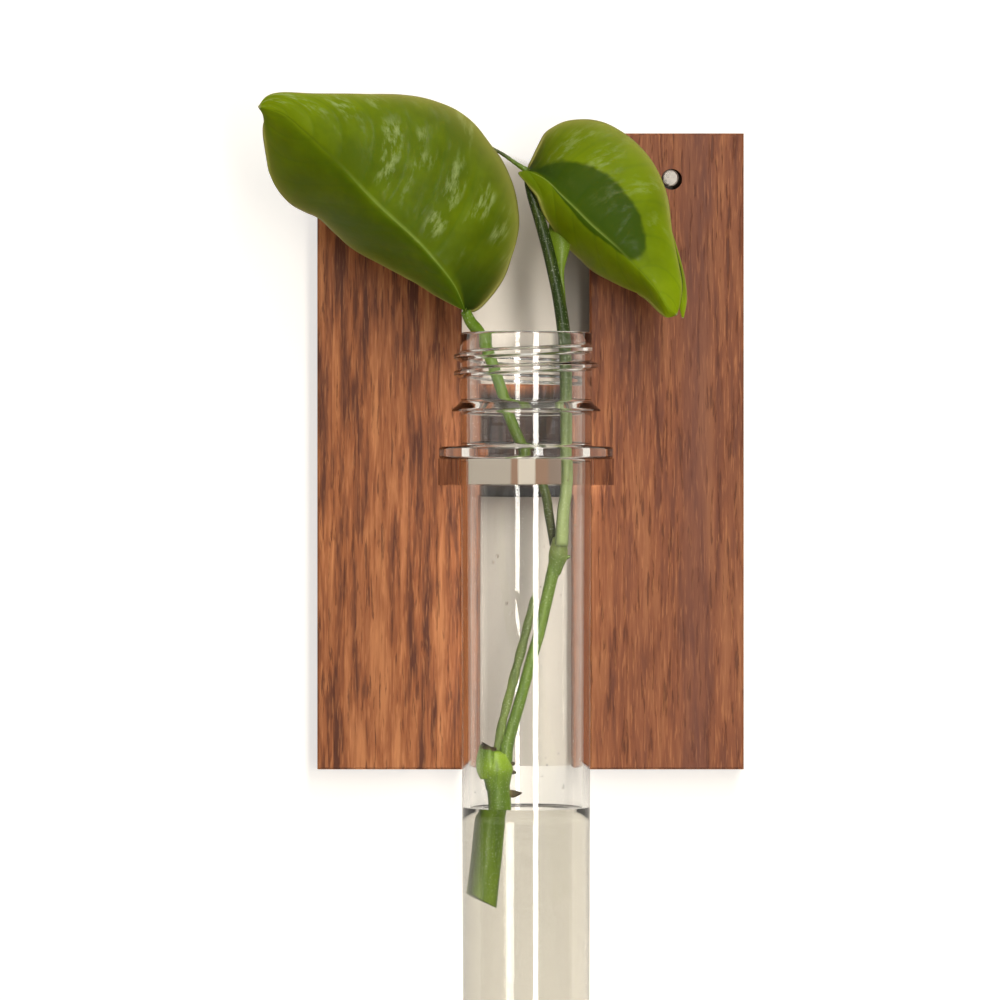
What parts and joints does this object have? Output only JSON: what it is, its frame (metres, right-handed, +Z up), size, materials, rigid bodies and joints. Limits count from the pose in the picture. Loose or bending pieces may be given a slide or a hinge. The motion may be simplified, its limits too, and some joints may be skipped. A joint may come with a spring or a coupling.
{
  "type": "propagation vase",
  "caption": "Wall-hung propagation vase: slotted wooden plaque with a clear shelf carrying a threaded clear tube of water and a leafy cutting.",
  "frame": {"origin": "on the wall, midway between the two nails that the plaque hangs on", "axes": "+Y into the wall along the nails, +Z up along the tube, +X to the right seen from the front"},
  "size_m": [0.0927, 0.0519, 0.2],
  "materials": {
    "walnut": "satin oiled hardwood with upright grain",
    "nail_steel": "dull zinc-plated steel",
    "clear_acrylic": "clear, sawn nose a little frosted",
    "clear_pet": "clear moulded plastic, glossy",
    "water": "still clear water",
    "stem_green": "smooth plant stem",
    "stem_dark": "smooth dark plant stem",
    "sheath_green": "thin pale leaf sheath",
    "node_green": "fresh cut plant node",
    "bud_brown": "dry brown root bud",
    "leaf_green": "glossy leaf with side veins"
  },
  "bodies": {
    "nails": {"nail_left": "nail_steel", "nail_right": "nail_steel"},
    "plaque": {"plaque_board": "walnut", "tube_shelf": "clear_acrylic"},
    "tube": {"clear_tube": "clear_pet", "water": "water"},
    "cutting": {"petiole_left": "stem_green", "petiole_right": "stem_green", "petiole_sheath": "sheath_green", "upper_node": "stem_green", "internode": "stem_green", "second_stem": "stem_dark", "lower_node": "node_green", "root_buds": "bud_brown", "lower_stem": "stem_green", "leaf_left": "leaf_green", "leaf_right": "leaf_green"}
  },
  "joints": [
    {"name": "plaque_pull", "type": "slide", "parent": "nails", "child": "plaque", "axis": [0, -1, 0], "range_m": [0, 0.02]},
    {"name": "tube_lift", "type": "slide", "parent": "plaque", "child": "tube", "axis": [0, 0, 1], "range_m": [0, 0.14]},
    {"name": "cutting_lift", "type": "slide", "parent": "tube", "child": "cutting", "axis": [0, 0, 1], "range_m": [0, 0.112]}
  ]
}
